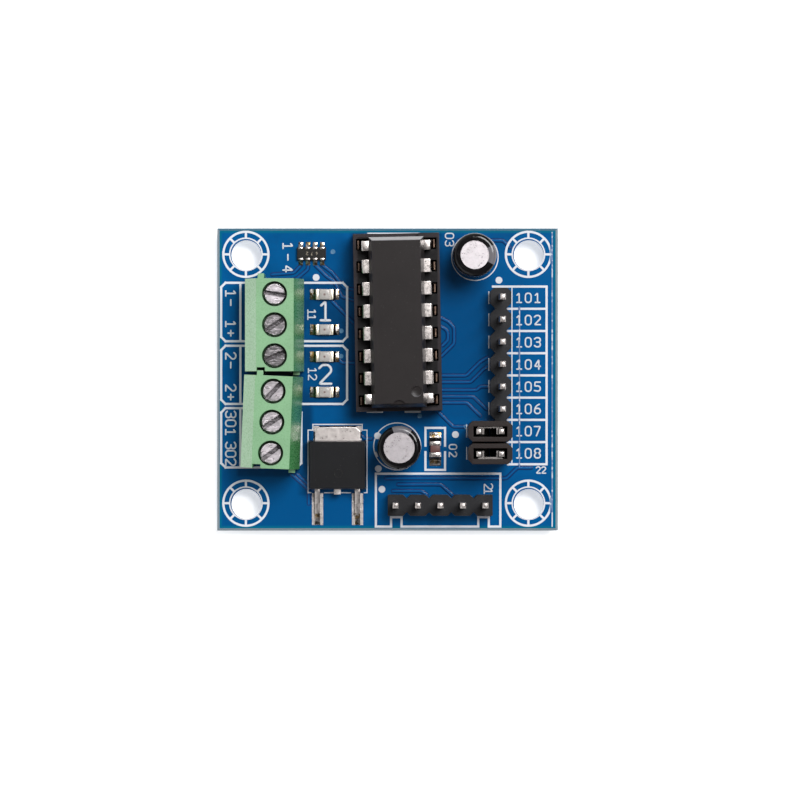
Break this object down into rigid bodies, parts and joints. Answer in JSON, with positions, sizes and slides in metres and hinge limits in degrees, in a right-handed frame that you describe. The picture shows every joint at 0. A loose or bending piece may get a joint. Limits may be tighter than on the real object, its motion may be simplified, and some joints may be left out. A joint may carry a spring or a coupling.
{
  "type": "dc motor driver module",
  "caption": "Small blue driver board with a socketed chip, screw terminals on one edge, pin headers, jumpers and corner mounting holes.",
  "frame": {"origin": "centre of the four mounting holes, on the underside of the board", "axes": "+Z out of the component side, +X along the long side away from the screw terminals, +Y along the short side"},
  "size_m": [0.039, 0.0346, 0.0118],
  "materials": {
    "board": "glass-fibre laminate under a blue solder mask",
    "ink": "white screen-printed ink",
    "tin": "tin plate, satin",
    "solder": "bright tin solder",
    "terminal_green": "moulded polyamide, satin",
    "tinned_brass": "tinned brass",
    "screw_steel": "zinc-plated steel",
    "cage_steel": "zinc-plated steel",
    "black_plastic": "moulded polyester, matt",
    "contact_bronze": "tinned phosphor bronze",
    "chip_mould": "moulded epoxy, matt",
    "can_aluminium": "drawn aluminium",
    "black_sleeve": "shrunk film with a grey stripe",
    "seal_rubber": "matt",
    "led_white": "white laminate",
    "led_lens": "clear resin",
    "black_ceramic": "glazed film over alumina",
    "brown_ceramic": "fired ceramic"
  },
  "bodies": {
    "board": {"capacitor_1_can": "can_aluminium", "capacitor_1_leads": "tin", "capacitor_1_seal": "seal_rubber", "capacitor_1_sleeve": "black_sleeve", "capacitor_2_can": "can_aluminium", "capacitor_2_leads": "tin", "capacitor_2_seal": "seal_rubber", "capacitor_2_sleeve": "black_sleeve", "ceramic_capacitor_body": "brown_ceramic", "ceramic_capacitor_ends": "tin", "chip_body": "chip_mould", "chip_leads": "tin", "circuit_board": "board", "enable_header_pins": "tinned_brass", "enable_header_strip": "black_plastic", "input_header_pins": "tinned_brass", "input_header_strip": "black_plastic", "led_bases": "led_white", "led_ends": "tin", "led_lenses": "led_lens", "output_header_pins": "tinned_brass", "output_header_strip": "black_plastic", "regulator_body": "chip_mould", "regulator_leads": "tin", "regulator_tab": "tin", "resistor_array_body": "black_ceramic", "resistor_array_ends": "tin", "screen_print": "ink", "socket_contacts": "contact_bronze", "socket_frame": "black_plastic", "solder_joints": "solder", "surface_pads": "tin", "surface_solder": "solder", "terminal_contacts_lower": "tinned_brass", "terminal_contacts_upper": "tinned_brass", "terminal_housing_lower": "terminal_green", "terminal_housing_upper": "terminal_green"},
    "screw_1": {"terminal_screw_1": "screw_steel"},
    "cage_1": {"clamp_cage_1": "cage_steel"},
    "screw_2": {"terminal_screw_2": "screw_steel"},
    "cage_2": {"clamp_cage_2": "cage_steel"},
    "screw_3": {"terminal_screw_3": "screw_steel"},
    "cage_3": {"clamp_cage_3": "cage_steel"},
    "screw_4": {"terminal_screw_4": "screw_steel"},
    "cage_4": {"clamp_cage_4": "cage_steel"},
    "screw_5": {"terminal_screw_5": "screw_steel"},
    "cage_5": {"clamp_cage_5": "cage_steel"},
    "screw_6": {"terminal_screw_6": "screw_steel"},
    "cage_6": {"clamp_cage_6": "cage_steel"},
    "jumper_1": {"jumper_cap_1": "black_plastic", "jumper_clip_1": "contact_bronze"},
    "jumper_2": {"jumper_cap_2": "black_plastic", "jumper_clip_2": "contact_bronze"}
  },
  "joints": [
    {"name": "screw_1_turn", "type": "hinge", "parent": "board", "child": "screw_1", "pos_m": [-0.01275, 0.00965, 0.0085], "axis": [0, 0, 1], "range_deg": [-1080, 0]},
    {"name": "cage_1_lift", "type": "slide", "parent": "board", "child": "cage_1", "axis": [0, 0, 1], "range_m": [0, 0.0012]},
    {"name": "screw_2_turn", "type": "hinge", "parent": "board", "child": "screw_2", "pos_m": [-0.01275, 0.00615, 0.0085], "axis": [0, 0, 1], "range_deg": [-1080, 0]},
    {"name": "cage_2_lift", "type": "slide", "parent": "board", "child": "cage_2", "axis": [0, 0, 1], "range_m": [0, 0.0012]},
    {"name": "screw_3_turn", "type": "hinge", "parent": "board", "child": "screw_3", "pos_m": [-0.01275, 0.00265, 0.0085], "axis": [0, 0, 1], "range_deg": [-1080, 0]},
    {"name": "cage_3_lift", "type": "slide", "parent": "board", "child": "cage_3", "axis": [0, 0, 1], "range_m": [0, 0.0012]},
    {"name": "screw_4_turn", "type": "hinge", "parent": "board", "child": "screw_4", "pos_m": [-0.01291, -0.00135, 0.0085], "axis": [0, 0, 1], "range_deg": [-1080, 0]},
    {"name": "cage_4_lift", "type": "slide", "parent": "board", "child": "cage_4", "axis": [0, 0, 1], "range_m": [0, 0.0012]},
    {"name": "screw_5_turn", "type": "hinge", "parent": "board", "child": "screw_5", "pos_m": [-0.01305, -0.00485, 0.0085], "axis": [0, 0, 1], "range_deg": [-1080, 0]},
    {"name": "cage_5_lift", "type": "slide", "parent": "board", "child": "cage_5", "axis": [0, 0, 1], "range_m": [0, 0.0012]},
    {"name": "screw_6_turn", "type": "hinge", "parent": "board", "child": "screw_6", "pos_m": [-0.01319, -0.00835, 0.0085], "axis": [0, 0, 1], "range_deg": [-1080, 0]},
    {"name": "cage_6_lift", "type": "slide", "parent": "board", "child": "cage_6", "axis": [0, 0, 1], "range_m": [0, 0.0012]},
    {"name": "jumper_1_pull", "type": "slide", "parent": "board", "child": "jumper_1", "axis": [0, 0, 1], "range_m": [0, 0.0065]},
    {"name": "jumper_2_pull", "type": "slide", "parent": "board", "child": "jumper_2", "axis": [0, 0, 1], "range_m": [0, 0.0065]}
  ],
  "couplings": [
    {"joint": "screw_1_turn", "follows": "cage_1_lift", "rad_per_m": -15708},
    {"joint": "screw_2_turn", "follows": "cage_2_lift", "rad_per_m": -15708},
    {"joint": "screw_3_turn", "follows": "cage_3_lift", "rad_per_m": -15708},
    {"joint": "screw_4_turn", "follows": "cage_4_lift", "rad_per_m": -15708},
    {"joint": "screw_5_turn", "follows": "cage_5_lift", "rad_per_m": -15708},
    {"joint": "screw_6_turn", "follows": "cage_6_lift", "rad_per_m": -15708}
  ]
}
